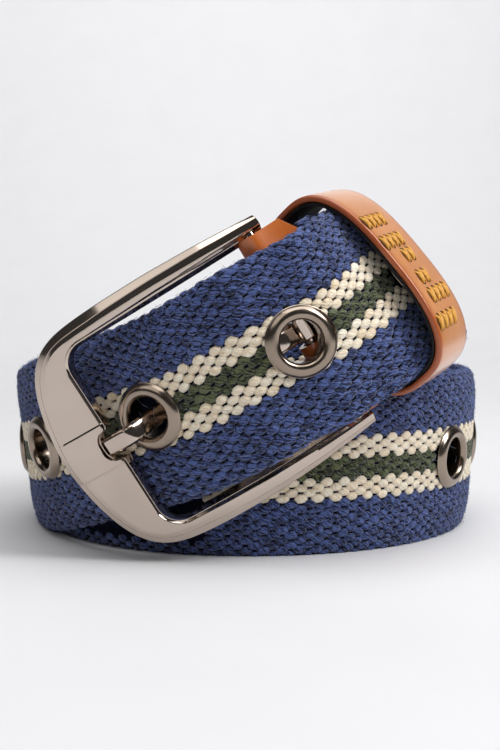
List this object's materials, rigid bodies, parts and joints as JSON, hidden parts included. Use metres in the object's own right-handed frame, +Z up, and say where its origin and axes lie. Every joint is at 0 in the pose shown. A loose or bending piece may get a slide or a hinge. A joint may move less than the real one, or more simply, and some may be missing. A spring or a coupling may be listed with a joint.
{
  "type": "canvas web belt",
  "caption": "Striped canvas web belt with metal eyelets, a curved prong buckle and a stitched leather keeper, buckled and rolled into a coil that stands on its edge.",
  "frame": {"origin": "middle of the overall box in X and Y, on the surface the coil stands on", "axes": "+Z up through the coil's open middle, -Y out of the buckle's face, +X to the right of the buckle"},
  "size_m": [0.1132, 0.1288, 0.0783],
  "materials": {
    "canvas": "matte heavy weave, cream and green stripes",
    "eyelet_metal": "gunmetal plated",
    "gunmetal": "polished gunmetal plated",
    "tan_leather": "semi-gloss, burnt-orange edges",
    "dark_lining": "matte"
  },
  "bodies": {
    "root": {"webbing": "canvas", "eyelet_01": "eyelet_metal", "eyelet_02": "eyelet_metal", "eyelet_03": "eyelet_metal", "eyelet_04": "eyelet_metal", "eyelet_05": "eyelet_metal", "eyelet_06": "eyelet_metal", "eyelet_07": "eyelet_metal", "eyelet_08": "eyelet_metal", "eyelet_09": "eyelet_metal", "eyelet_10": "eyelet_metal", "eyelet_11": "eyelet_metal", "buckle_frame": "gunmetal", "hinge_pin": "gunmetal", "prong": "gunmetal", "leather_chape": "tan_leather", "keeper_lining": "dark_lining", "keeper_loop": "tan_leather"}
  },
  "joints": []
}
